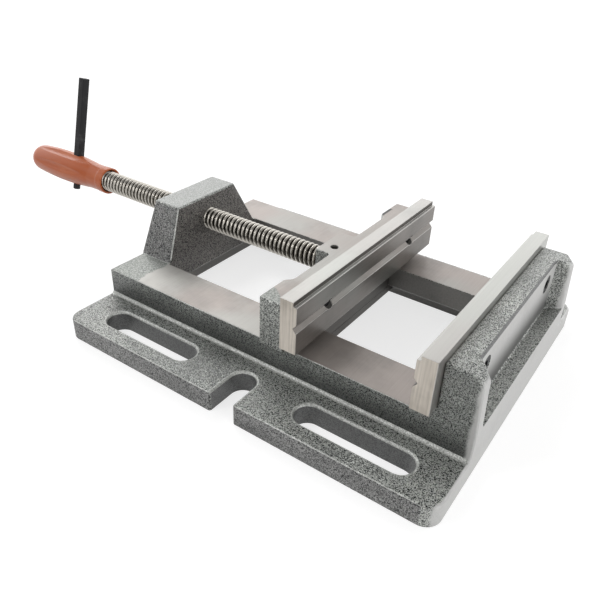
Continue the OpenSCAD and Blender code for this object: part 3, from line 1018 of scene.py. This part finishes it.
@dataclass
class LeadScrew:
    """The lead screw: a right-hand thread between the grip and the jaw, with its plain ends."""

    axis_height: float = 44.0
    thread_start: float = -213.55
    shoulder: float = -6.55
    pitch: float = 3.175
    crest_radius: float = 7.15
    root_radius: float = 5.5
    run_out: float = 2.2
    crest_sharpness: float = 0.75
    flank_power: float = 0.75
    columns: int = 40
    rows_per_turn: int = 12
    pole_share: float = 1e-5
    weld_mm: float = 0.002
    shank_start: float = -247.55
    shank_radius: float = 6.0
    shank_chamfer: float = 0.4
    shank_overlap: Pair = (0.5, 0.9)
    journal_radius: float = 4.5
    journal_length: float = 16.0
    journal_chamfer: float = 0.6
    journal_overlap: Pair = (1.5, 1.0)
    groove_radius: float = 2.5
    groove_middle: float = 0.95
    half_groove: float = 2.3
    crease_degrees: float = 50.0

    def tooth_radius(self, made: GeometryTree, turn: Socket, inside: Socket, length: Socket) -> Socket:
        """Gives the radius of the thread's surface, which falls to the root at both ends.

        Args:
            made: the thread's tree.
            turn: how many turns along the thread's middle a point lies.
            inside: its place along the thread.
            length: the thread's length.

        Returns:
            The radius in metres.
        """
        crest = made.given("Crest Radius", self.crest_radius * MM)
        root = made.given("Root Radius", self.root_radius * MM)
        run_out = made.given("Run Out", self.run_out * MM)
        wave = made.math("COSINE", made.math("MULTIPLY", turn, 2 * math.pi))
        ridge = made.math("ADD", made.math("MULTIPLY", wave, self.crest_sharpness), 0.5, clamp=True)
        rounding = made.math("POWER", ridge, self.flank_power)
        fade_in = made.math("DIVIDE", inside, run_out, clamp=True)
        fade_out = made.math("DIVIDE", made.math("SUBTRACT", length, inside), run_out, clamp=True)
        tooth = made.math("MULTIPLY", rounding, made.math("MULTIPLY", fade_in, fade_out))
        return made.math("ADD", root, made.math("MULTIPLY", tooth, made.math("SUBTRACT", crest, root)))

    def thread_tree(self, steel: bpy.types.Material) -> bpy.types.NodeTree:
        """Builds the tree that winds a flat grid into the thread.

        Args:
            steel: the thread's material.

        Returns:
            The tree, whose inputs have the screw's own sizes as defaults.
        """
        made = GeometryTree("screw_thread")
        start = made.given("Start", self.thread_start * MM)
        end = made.given("End", self.shoulder * MM)
        pitch = made.given("Pitch", self.pitch * MM)
        height = made.given("Axis Height", self.axis_height * MM)
        columns = made.given("Columns", self.columns)
        per_turn = made.given("Rows Per Turn", self.rows_per_turn)

        length = made.math("SUBTRACT", end, start)
        turns = made.math("ADD", made.math("CEIL", made.math("DIVIDE", length, pitch)), 2.0)
        rows = made.math("MULTIPLY", turns, per_turn)
        grid = made.node("GeometryNodeMeshGrid", {
            "Size X": 1.0, "Vertices X": made.math("ADD", columns, 1.0),
            "Size Y": 1.0, "Vertices Y": made.math("ADD", rows, 1.0),
        })

        position = made.node("GeometryNodeInputPosition").outputs[0]
        split = made.node("ShaderNodeSeparateXYZ", {0: position})
        around = made.math("ADD", split.outputs["X"], 0.5)
        along = made.math("ADD", split.outputs["Y"], 0.5)
        turn = made.math("SUBTRACT", made.math("MULTIPLY", along, turns), 1.0)
        reach = made.math("MULTIPLY", made.math("ADD", turn, around), pitch)
        inside = made.math("MAXIMUM", made.math("MINIMUM", reach, length), 0.0)
        near_pole = made.math("GREATER_THAN", along, self.pole_share)
        far_pole = made.math("LESS_THAN", along, 1 - self.pole_share)
        radius = self.tooth_radius(made, turn, inside, length)
        radius = made.math("MULTIPLY", radius, made.math("MULTIPLY", near_pole, far_pole))

        angle = made.math("MULTIPLY", around, 2 * math.pi)
        rise = made.math("MULTIPLY", radius, made.math("SINE", angle))
        spot = made.node("ShaderNodeCombineXYZ", {
            "X": made.math("ADD", inside, start),
            "Y": made.math("MULTIPLY", radius, made.math("COSINE", angle)),
            "Z": made.math("ADD", rise, height),
        }).outputs[0]

        shape = grid.outputs["Mesh"]
        for kind, inputs in (
            ("GeometryNodeSetPosition", {"Position": spot}),
            ("GeometryNodeMergeByDistance", {"Distance": self.weld_mm * MM}),
            ("GeometryNodeRealizeInstances", {}),
            ("GeometryNodeSetMaterial", {"Material": steel}),
        ):
            shape = made.node(kind, {"Geometry": shape, **inputs}).outputs[0]
        made.fill(made.outlet, {0: shape})
        return made.tree

    def shank(self) -> bpy.types.Mesh:
        """Builds the plain shank inside the grip.

        Returns:
            Its closed mesh.
        """
        start, radius, chamfer = self.shank_start, self.shank_radius, self.shank_chamfer
        rim, tip = (self.thread_start + overlap for overlap in self.shank_overlap)
        outline = [
            (start, 0.0), (start, radius - chamfer), (start + chamfer, radius), (rim, radius), (tip, 0.0),
        ]
        return turned_mesh("shank", outline, self.axis_height, self.columns)

    def journal(self) -> bpy.types.Mesh:
        """Builds the journal in the jaw, with the groove for its pin.

        Returns:
            Its closed mesh.
        """
        tip, rim = (self.shoulder - overlap for overlap in self.journal_overlap)
        radius, chamfer = self.journal_radius, self.journal_chamfer
        end = self.shoulder + self.journal_length
        near, far = self.groove_middle - self.half_groove, self.groove_middle + self.half_groove
        outline = [
            (tip, 0.0), (rim, radius), (near, radius), (near, self.groove_radius),
            (far, self.groove_radius), (far, radius), (end - chamfer, radius), (end, radius - chamfer),
            (end, 0.0),
        ]
        return turned_mesh("journal", outline, self.axis_height, self.columns)

    def build(self, steel: bpy.types.Material) -> None:
        """Builds the screw.

        Args:
            steel: its material.
        """
        piece = new_piece("threaded_screw", bpy.data.meshes.new("threaded_screw"), [steel])
        piece.modifiers.new("thread", "NODES").node_group = self.thread_tree(steel)
        apply_modifiers(piece)
        shape = bmesh.new()
        for mesh in (piece.data, self.shank(), self.journal()):
            shape.from_mesh(mesh)
        bmesh.ops.recalc_face_normals(shape, faces=shape.faces)
        shape.to_mesh(piece.data)
        shape.free()
        set_materials(piece, [steel])
        smooth(piece, self.crease_degrees)
        settle_piece(piece, Body.SCREW, Slot.SCREW, "lead_screw")


@dataclass
class HandleGrip:
    """The moulded grip: a round nose, a long fluted belly, a neck and a collar with a deep recess."""

    axis_height: float = 44.0
    collar_face: float = -194.55
    length: float = 83.0
    belly_place: float = 47.5
    belly_curve: float = 260.0
    belly_radius: float = 11.0
    neck_radius: float = 9.1
    collar_radius: float = 9.4
    collar_length: float = 6.0
    recess_radius: float = 8.1
    recess_depth: float = 19.0
    recess_edge: float = 0.3
    recess_fillet: float = 0.5
    lip: float = 0.5
    lip_share: float = 0.3
    flute_count: int = 6
    flute_radius: float = 4.5
    flute_depth: float = 1.3
    lean_degrees: float = 15.0
    softness: float = 0.18
    columns: int = 132
    nose_steps: int = 22
    belly_steps: int = 110
    crease_degrees: float = 60.0

    def nose_radius(self) -> float:
        """Gives the radius of the nose that runs into the belly's curve.

        Returns:
            The radius.
        """
        reach = self.length - self.belly_place
        top, curve = self.belly_radius, self.belly_curve
        return (2 * curve * top - top * top - reach * reach) / (2 * (curve - reach))

    def outer(self, place: float) -> float:
        """Gives the radius of the grip without its flutes.

        Args:
            place: distance from the nose's tip.

        Returns:
            The radius.
        """
        reach, nose = self.length - self.belly_place, self.nose_radius()
        curve = self.belly_curve
        side = math.sqrt(curve * curve - (place - reach) ** 2) - curve + self.belly_radius
        if place > reach:
            side = max(side, self.neck_radius)
        if place > self.length - self.collar_length:
            side = max(side, self.collar_radius)
        if place < nose:
            side = min(side, math.sqrt(nose * nose - (nose - place) ** 2))
        return side

    def fluted(self, place: float, angle: float) -> float:
        """Gives the radius of the grip in one direction, with its flutes.

        Args:
            place: distance from the nose's tip.
            angle: direction round the axis.

        Returns:
            The radius.
        """
        plain = self.outer(place)
        offset = self.belly_radius - self.flute_depth + self.flute_radius
        step = 2 * math.pi / self.flute_count
        lean = math.radians(90 + self.lean_degrees)
        turn = (angle - lean + step / 2) % step - step / 2
        aside = offset * math.sin(turn)
        if abs(aside) >= self.flute_radius:
            return plain
        cut = offset * math.cos(turn) - math.sqrt(self.flute_radius ** 2 - aside ** 2)
        gap = self.softness - abs(plain - cut)
        return min(plain, cut) - (gap * gap / (4 * self.softness) if gap > 0 else 0.0)

    def places(self) -> list[float]:
        """Gives the places of the outer rings, as distances from the nose's tip.

        Returns:
            The places from the nose to the lip.
        """
        nose = self.nose_radius()
        turns = [math.pi / 2 * step / self.nose_steps for step in range(1, self.nose_steps)]
        span = self.length - self.lip - nose
        belly = [nose + span * step / self.belly_steps for step in range(self.belly_steps + 1)]
        return [nose * (1 - math.cos(turn)) for turn in turns] + belly

    def build(self, plastic: bpy.types.Material) -> None:
        """Builds the grip.

        Args:
            plastic: its material.
        """
        tip, mouth = self.collar_face - self.length, self.collar_face
        back, edge = mouth - self.recess_depth, self.lip * self.lip_share
        shape = bmesh.new()
        rings = [add_ring(shape, tip, self.axis_height, [])]
        for place in self.places():
            radii = [self.fluted(place, angle) for angle in directions(self.columns)]
            rings.append(add_ring(shape, tip + place, self.axis_height, radii))
        for place, radius in (
            (mouth - edge, self.collar_radius - edge),
            (mouth, self.collar_radius - self.lip),
            (mouth, self.recess_radius + self.recess_edge),
            (mouth - self.recess_edge, self.recess_radius),
            (back + self.recess_fillet, self.recess_radius),
            (back, self.recess_radius - self.recess_fillet),
        ):
            rings.append(add_ring(shape, place, self.axis_height, [radius] * self.columns))
        rings.append(add_ring(shape, back, self.axis_height, []))
        piece = new_piece("moulded_grip", join_rings("moulded_grip", shape, rings), [plastic])
        smooth(piece, self.crease_degrees)
        settle_piece(piece, Body.SCREW, Slot.GRIP, "handle_grip")


GROUND_LINES = Grain((2600.0, 24.0, 2600.0), 2.0, 0.6)

RECIPES = {
    Finish.PAINT: HammeredPaint(),
    Finish.WORN_PAINT: HammeredPaint(
        name="worn_paint", valley=(0.15, 0.16, 0.148), thread=(0.29, 0.30, 0.28), dimple_mm=0.12,
        metallic=0.45,
    ),
    # painted shade: darker threads for the body's side walls, darker still at their foot; past bare_after
    # the filler is bare
    Finish.SHADED_WALL_PAINT: HammeredPaint(
        name="shaded_wall_paint", thread=(0.46, 0.48, 0.45), foot_dark=14.5, foot_clear=33.0, bare_after=114.5,
    ),
    Finish.END_PAINT: HammeredPaint(name="end_paint", bare_after=115.0),
    # painted shade: a darker copy of the paint for side faces turned away from the light
    Finish.SIDE_PAINT: HammeredPaint(
        name="side_paint", valley=(0.006, 0.007, 0.007), thread=(0.40, 0.40, 0.39), metallic=0.45,
        gloss=0.4,
    ),
    # painted shade: a near-black brown copy of the paint for the bridge's face towards the jaw
    Finish.BRIDGE_PAINT: HammeredPaint(
        name="bridge_paint", valley=(0.006, 0.006, 0.005), thread=(0.27, 0.25, 0.23), metallic=0.35,
        gloss=0.2,
    ),
    # painted highlight: a paler, smoother copy of the paint for fillets, slot rims and edges that catch the
    # light
    Finish.HIGHLIGHT_RIM_PAINT: HammeredPaint(
        name="highlight_rim_paint", valley=(0.30, 0.31, 0.29), thread=(0.72, 0.73, 0.70), dimple_mm=0.08,
        metallic=0.3, gloss_roughness=0.2,
    ),
    # smoother paint for the slot walls, darkened as painted shade of the slots and of the pocket's top rear
    # edge
    Finish.SHADED_SLOT_PAINT: HammeredPaint(
        name="shaded_slot_paint", valley=(0.075, 0.078, 0.077), thread=(0.16, 0.163, 0.16), dimple_mm=0.08,
        metallic=0.2, gloss=0.3,
    ),
    Finish.SKIN: PaleSkin(),
    # painted shade at the foot of the pocket wall
    Finish.POCKET_WALL: PaleSkin(name="pocket_wall", foot_dark=31.0),
    Finish.INNER_WALL: PaleSkin(
        name="inner_wall", base=(0.22, 0.212, 0.20), rubbed=(0.12, 0.122, 0.118), roughness=0.45,
    ),
    Finish.IRON: MachinedIron(),
    Finish.JAW_TOP: MachinedIron(name="jaw_top_iron", painted=(
        PaintLine((0.5, -61.0), (-0.54, -0.84)),
        # painted shade: a near-black band on the far pad's back edge
        PaintLine((2.2, 0.0), (-1.0, 0.0), (50.0, 63.0), 0.6, True),
    )),
    Finish.RAIL: MachinedIron(name="rail_iron", painted=(
        PaintLine((-95.0, 0.0), (-1.0, 0.0), (-200.0, 0.0), 3.0),
    )),
    # painted shadow: near-black steel for faces in shade in the pin hole, under and before the jaw, on the
    # keeper plate and the plate steps
    Finish.SHADOW: MachinedIron(
        name="painted_shadow_steel", base=(0.10, 0.095, 0.085), warm=(0.09, 0.08, 0.07), dark=(0.05, 0.047, 0.042),
        metallic=0.5,
    ),
    Finish.GROUND: MachinedIron(
        name="ground_steel", base=(0.47, 0.475, 0.45), warm=(0.47, 0.455, 0.435), dark=(0.34, 0.335, 0.32),
        lines=GROUND_LINES, roughness=0.36, metallic=0.8,
    ),
    # painted shade: a darker copy of the ground steel for the gripping faces and the lower faces of their
    # grooves
    Finish.SHADED_GRIP_FACE: MachinedIron(
        name="shaded_grip_face", base=(0.24, 0.24, 0.225), warm=(0.235, 0.215, 0.20), dark=(0.12, 0.115, 0.105),
        lines=GROUND_LINES, roughness=0.36, metallic=0.7,
    ),
    # partly painted reflection: the sawn ends get a near-white colour for the light they reflect; their
    # tool lines are real
    Finish.MILLED_END: MachinedIron(
        name="sawn_steel_painted_sheen", base=(0.92, 0.88, 0.81), warm=(0.90, 0.83, 0.74), dark=(0.26, 0.23, 0.19),
        lines=Grain((1100.0, 1100.0, 40.0), 2.0, 0.6), line_share=0.7, roughness=0.45, metallic=0.1,
    ),
    Finish.BLACK: BlackOxide(),
    Finish.THREAD: ScrewSteel(),
    Finish.PLASTIC: MouldedPlastic(),
}

X, Y = 0, 1
UP = (0, 0, 1)
DOWN = (0, 0, -1)
TO_PLATE = (1, 0, 0)
TO_GRIP = (-1, 0, 0)
TO_NEAR = (0, -1, 0)
TO_FAR = (0, 1, 0)
WHOLE = ((-200, -200, -200), (200, 200, 200))
BRIDGE_BOX = ((-121, -48, 29.2), (-94, 48, 58.0))

BASE_EDGES = [
    EdgeZone((-130, -110, -1), (130, 110, 0.3), 0.0),
    EdgeZone((-121, -8, 36), (-94, 8, 52), 0.4),
    *with_images([
        EdgeZone((96, 38, 44), (119, 53, 55), 0.25),
        EdgeZone((-119, 70, 0.3), (119, 110, 13), 1.3),
    ], Y),
    EdgeZone((-94.9, -42.6, 0.3), (85.8, 42.6, 28), 1.0),
    EdgeZone((-94.9, -42.6, 28), (85.8, 42.6, 29.5), 0.4),
    EdgeZone((85.7, -80, 0.3), (97.8, 80, 34.6), 0.4),
    *with_images([EdgeZone((-121, 68, 28), (85.8, 80, 29.5), 0.7)], Y),
    EdgeZone((-121, -60, 58), (-94, 60, 60), 0.9),
    EdgeZone((-121, -60, 28.5), (-94, 60, 58.5), 1.6),
    EdgeZone((108.5, -70, 28), (119, 70, 61), 1.2),
    EdgeZone((97, -70, 28), (119, 70, 61), 1.3),
]

BASE_FACES = [
    FaceZone((-130, -68.4, 28.7), (88, 68.4, 29.3), Finish.RAIL, UP),
    FaceZone((-130, -60, 59.2), (-90, 60, 60), Finish.WORN_PAINT, UP),
    # painted shade along the pocket's top rear edge
    FaceZone((108.2, -56, 58.0), (110.4, 56, 62), Finish.SHADED_SLOT_PAINT, (0.7, 0, 0.7), 0.8),
    FaceZone((109, -56, 29.5), (109.6, 56, 61), Finish.POCKET_WALL, TO_PLATE),
    FaceZone((114, -110, 0), (118.6, 110, 55.5), Finish.SKIN, (1, 0, 0.04)),
    FaceZone((-130, -110, 12.45), (130, 110, 12.55), Finish.PAINT, UP, 0.999),
    *with_images([
        FaceZone((32, 78, 0.1), (101, 95, 11.5), Finish.SHADED_SLOT_PAINT),
        FaceZone((31, 77, 11.5), (102, 96, 12.5), Finish.HIGHLIGHT_RIM_PAINT),
    ], X, Y),
    FaceZone((-7.6, -102, 0.1), (7.6, -78, 11.5), Finish.SHADED_SLOT_PAINT),
    FaceZone((-7.6, 78, 0.1), (7.6, 98, 11.5), Finish.SHADED_SLOT_PAINT),
    FaceZone((-9, -103, 11.5), (9, -77, 12.5), Finish.HIGHLIGHT_RIM_PAINT),
    FaceZone((-114, -104, 11.5), (108, -103, 12.5), Finish.HIGHLIGHT_RIM_PAINT, (0, -0.7, 0.7), 0.92),
    # painted highlight along the body's foot fillet
    *with_images([FaceZone((-130, 66, 12.5), (112, 80, 15.5), Finish.HIGHLIGHT_RIM_PAINT, (0, 0.6, 0.8), 0.84)], Y),
    FaceZone((-96, -70, 28.0), (86, -67, 29.1), Finish.HIGHLIGHT_RIM_PAINT, (0, -0.7, 0.7)),
    # painted shade on the body's side walls
    *with_images([FaceZone((-130, 66, 12.6), (119, 80, 60), Finish.SHADED_WALL_PAINT, TO_FAR)], Y),
    FaceZone((108, -110, 0.1), (119, 110, 60), Finish.END_PAINT, TO_PLATE, 0.2),
    # painted highlight on the bridge's corner
    FaceZone((-99.5, -48, 29.5), (-93, 48, 57.5), Finish.HIGHLIGHT_RIM_PAINT, (0.75, -0.6, 0.3), 0.95),
    # painted shade on the flanges' outer sides
    FaceZone((-130, -104, 0.1), (114, -103, 11.6), Finish.SIDE_PAINT, TO_NEAR, 0.7),
    FaceZone((-130, 98, 0.1), (114, 100, 11.6), Finish.SIDE_PAINT, TO_FAR, 0.7),
    # painted shade on the bridge's face towards the jaw
    FaceZone(*BRIDGE_BOX, Finish.BRIDGE_PAINT, (1, 0, 0.16)),
    # painted shade on the bridge's sides
    *with_images([FaceZone(*BRIDGE_BOX, Finish.SIDE_PAINT, (0, 0.9, 0.4), 0.8)], Y),
    # painted shade on the wall under the bridge
    FaceZone((-96, -45, 14), (-93, 45, 29.2), Finish.BRIDGE_PAINT, TO_PLATE),
    FaceZone((-110, -60, 0.1), (100, 60, 13.5), Finish.INNER_WALL),
    *with_images([FaceZone((-96, 40, 0.1), (88, 46, 28.4), Finish.INNER_WALL, TO_NEAR)], Y),
    FaceZone((-122, -45, 20), (-94, 45, 60), Finish.PAINT, (1, 0, 0.16)),
    FaceZone((-122, -45, 20), (-94, 45, 60), Finish.PAINT, TO_GRIP),
    FaceZone((-122, -8, 36), (-93, 8, 52), Finish.IRON),
    FaceZone((-200, -200, -200), (200, 200, 0.01), Finish.IRON, DOWN),
]

JAW_EDGES = [
    EdgeZone((-12, -45, 14), (16, 45, 29.2), 0.4),
    EdgeZone((-12, -8, 36), (16, 8, 52), 0.3),
    EdgeZone((-12, -75, 29.3), (16, 75, 56.9), 1.6),
]

JAW_FACES = [
    # painted shadow in the pin hole, under the jaw and on its faces towards the plate
    FaceZone((-2, -8, 40), (4, -2, 57.2), Finish.SHADOW),
    FaceZone((-20, -64, 57.2), (20, 75, 58), Finish.JAW_TOP, UP),
    FaceZone((-20, -45, 14), (20, 45, 29.3), Finish.SHADOW),
    FaceZone(*WHOLE, Finish.IRON, DOWN),
    FaceZone(*WHOLE, Finish.PAINT, TO_GRIP),
    FaceZone(*WHOLE, Finish.SHADOW, TO_PLATE),
    FaceZone((-20, -8, 36), (20, 8, 52), Finish.IRON),
]

PLATE_FACES = [
    *with_images([FaceZone((-200, 75.9, 0), (200, 80, 100), Finish.MILLED_END, TO_FAR)], Y),
    # painted shade on the gripping faces and their grooves' lower faces
    FaceZone((25.0, -80, 34), (25.5, 80, 61.7), Finish.SHADED_GRIP_FACE, TO_PLATE, 0.95),
    # painted shadow on the steps above the gripping faces
    FaceZone((22, -80, 62.1), (24, 80, 64.4), Finish.SHADOW, TO_PLATE),
    FaceZone((22, -80, 46), (25.1, 80, 49.8), Finish.SHADED_GRIP_FACE, (0.7, 0, 0.7), 0.8),
    FaceZone((87.9, -80, 46), (91, 80, 49.8), Finish.SHADED_GRIP_FACE, (-0.7, 0, 0.7), 0.8),
    FaceZone((87.5, -80, 34), (88.0, 80, 61.7), Finish.SHADED_GRIP_FACE, TO_GRIP, 0.95),
    FaceZone((89, -80, 62.1), (91, 80, 64.4), Finish.SHADOW, TO_GRIP),
]


@dataclass
class Vise:
    """The whole vise: every piece with its finish."""

    palette: Palette = field(init=False)

    def __post_init__(self) -> None:
        """Makes the finishes."""
        self.palette = {finish: recipe.material() for finish, recipe in RECIPES.items()}

    def build_castings(self) -> None:
        """Builds the base and the movable jaw."""
        base_finishes = [
            Finish.PAINT, Finish.IRON, Finish.SKIN, Finish.WORN_PAINT, Finish.SHADED_SLOT_PAINT, Finish.RAIL,
            Finish.SHADED_WALL_PAINT, Finish.HIGHLIGHT_RIM_PAINT, Finish.POCKET_WALL, Finish.INNER_WALL, Finish.END_PAINT,
            Finish.SIDE_PAINT, Finish.BRIDGE_PAINT,
        ]
        jaw_finishes = [Finish.PAINT, Finish.IRON, Finish.JAW_TOP, Finish.SHADOW]
        RoundedCopy(
            "hammered_base", "base_casting", Body.BASE, Slot.PAINT, base_finishes,
            edge_radius=1.0, segments=3, edge_zones=BASE_EDGES, face_zones=BASE_FACES,
        ).build(self.palette)
        RoundedCopy(
            "hammered_jaw", "movable_jaw", Body.JAW, Slot.PAINT, jaw_finishes,
            edge_radius=0.8, segments=3, edge_zones=JAW_EDGES, face_zones=JAW_FACES,
        ).build(self.palette)

    def build_plates(self) -> None:
        """Builds the two jaw plates."""
        finishes = [Finish.GROUND, Finish.MILLED_END, Finish.SHADOW, Finish.SHADED_GRIP_FACE]
        for kind, body in (("fixed", Body.BASE), ("movable", Body.JAW)):
            RoundedCopy(
                f"ground_{kind}_plate", f"{kind}_jaw_plate", body, Slot.GROUND, finishes,
                edge_radius=0.3, face_zones=PLATE_FACES,
            ).build(self.palette)

    def build_screw(self) -> None:
        """Builds the screw, the grip and the bar."""
        LeadScrew().build(self.palette[Finish.THREAD])
        HandleGrip().build(self.palette[Finish.PLASTIC])
        RoundedCopy(
            "black_bar", "handle_bar", Body.SCREW, Slot.BLACK, [Finish.BLACK], edge_radius=0.45,
        ).build(self.palette)

    def dress_rest(self) -> None:
        """Gives the small solids that stay as they are their finishes."""
        finishes = {
            "fixed_jaw_screws": Finish.BLACK,
            "movable_jaw_screws": Finish.BLACK,
            "keeper_bolts": Finish.BLACK,
            # painted shadow on the keeper plate under the jaw
            "keeper_plate": Finish.SHADOW,
            "keeper_washers": Finish.GROUND,
            "screw_retaining_pin": Finish.BLACK,
        }
        for node, finish in finishes.items():
            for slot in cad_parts[node].material_slots:
                slot.material = self.palette[finish]
            LOG.info("%s: finish %s", node, finish.value)


@dataclass
class WorldTree(NodeMaker):
    """The node tree of a new world, empty at first."""

    def __post_init__(self) -> None:
        """Makes the world and gives it to the scene."""
        world = bpy.data.worlds.new(self.name)
        world.use_nodes = True
        self.tree = world.node_tree
        self.tree.nodes.clear()
        bpy.context.scene.world = world


@dataclass(frozen=True)
class Lamp:
    """A soft square lamp that faces the origin."""

    name: str
    place: Point
    side: float
    watts: float

    def build(self) -> None:
        """Adds the lamp."""
        data = bpy.data.lights.new(self.name, "AREA")
        data.energy = self.watts
        data.size = self.side * MM
        lamp = bpy.data.objects.new(self.name, data)
        lamp.location = Vector(self.place) * MM
        lamp.rotation_euler = (-Vector(self.place)).to_track_quat("-Z", "Y").to_euler()
        bpy.context.scene.collection.objects.link(lamp)


@dataclass
class Studio:
    """The floor, the lamps, the world and the camera at the photograph's angle.

    The world has a dim dome with a bright wall towards wall_side. The wall begins where a direction's share
    towards it is within wall_reach, and ends where its rise is within wall_top.
    """

    camera_place: Point = (166.65, -283.77, 227.40)
    camera_right: Point = (0.8230206, 0.5664274, 0.0423917)
    camera_down: Point = (0.3326880, -0.4202133, -0.8442390)
    focal_pixels: float = 640.34
    centre_pixels: Pair = (309.17, 297.62)
    sensor: float = 36.0
    clip_metres: Pair = (0.01, 50.0)
    floor_half: float = 3000.0
    floor_drop: float = 0.1
    wall_side: Point = (-0.55, 0.83, 0.0)
    wall_reach: Pair = (-0.35, 0.55)
    wall_top: Pair = (0.50, 0.80)
    dome_low: float = 0.34
    dome_high: float = 1.9
    lamps: tuple[Lamp, ...] = (
        Lamp("key", (-2100, 1400, 2300), 1500, 22.0),
        Lamp("end_fill", (2200, -500, 700), 1500, 20.0),
        Lamp("side_fill", (-300, -2200, 700), 1500, 6.0),
        Lamp("edge_light", (-820, -1140, 1420), 400, 6.0),
    )

    def build_camera(self) -> None:
        """Places the camera that the photograph was solved for."""
        data = bpy.data.cameras.new("photo_camera")
        data.sensor_fit = "HORIZONTAL"
        data.sensor_width = self.sensor
        data.lens = self.sensor * self.focal_pixels / PHOTO_PIXELS
        half = PHOTO_PIXELS / 2
        data.shift_x = -(self.centre_pixels[0] - half) / PHOTO_PIXELS
        data.shift_y = (self.centre_pixels[1] - half) / PHOTO_PIXELS
        data.clip_start, data.clip_end = self.clip_metres
        camera = bpy.data.objects.new("photo_camera", data)
        right = Vector(self.camera_right).normalized()
        up = -Vector(self.camera_down).normalized()
        back = right.cross(up).normalized()
        up = back.cross(right)
        turn = Matrix((right, up, back)).transposed().to_4x4()
        camera.matrix_world = Matrix.Translation(Vector(self.camera_place) * MM) @ turn
        bpy.context.scene.collection.objects.link(camera)
        bpy.context.scene.camera = camera

    def build_world(self) -> None:
        """Makes a white backdrop for the camera, and the dome and the wall for the light."""
        made = WorldTree("studio")
        ray = made.node("ShaderNodeTexCoord").outputs["Generated"]
        side = Vector(self.wall_side).normalized()
        facing = made.node("ShaderNodeVectorMath", {0: ray, 1: side}, operation="DOT_PRODUCT")
        split = made.node("ShaderNodeSeparateXYZ", {0: ray})
        near_wall = made.ramp(facing.outputs["Value"], *self.wall_reach)
        below_top = made.ramp(split.outputs["Z"], *self.wall_top, 1.0, 0.0)
        level = made.node("ShaderNodeMapRange", {
            "Value": made.math("MULTIPLY", near_wall, below_top),
            "To Min": self.dome_low, "To Max": self.dome_high,
        }).outputs["Result"]
        light = made.node("ShaderNodeBackground", {"Color": WHITE, "Strength": level}).outputs[0]
        backdrop = made.node("ShaderNodeBackground", {"Color": WHITE}).outputs[0]
        seen = made.node("ShaderNodeLightPath").outputs["Is Camera Ray"]
        mix = made.node("ShaderNodeMixShader", {"Fac": seen, 1: light, 2: backdrop}).outputs[0]
        made.node("ShaderNodeOutputWorld", {"Surface": mix})

    def build_floor(self) -> None:
        """Lays the floor just under the base."""
        half = self.floor_half * MM
        corners = [(-half, -half, 0), (half, -half, 0), (half, half, 0), (-half, half, 0)]
        mesh = bpy.data.meshes.new("floor")
        mesh.from_pydata(corners, [], [(0, 1, 2, 3)])
        floor = new_piece("floor", mesh, [PaleFloor().material()])
        floor.location.z = -self.floor_drop * MM

    def build(self) -> None:
        """Builds the whole studio."""
        self.build_floor()
        self.build_world()
        for lamp in self.lamps:
            lamp.build()
        self.build_camera()
        bpy.context.scene.view_settings.view_transform = "Standard"


def main() -> None:
    """Builds the vise and its studio."""
    logging.basicConfig(level=logging.INFO, format="%(name)s: %(message)s")
    vise = Vise()
    vise.build_castings()
    vise.build_plates()
    vise.build_screw()
    vise.dress_rest()
    Studio().build()


if __name__ == "__main__":
    main()
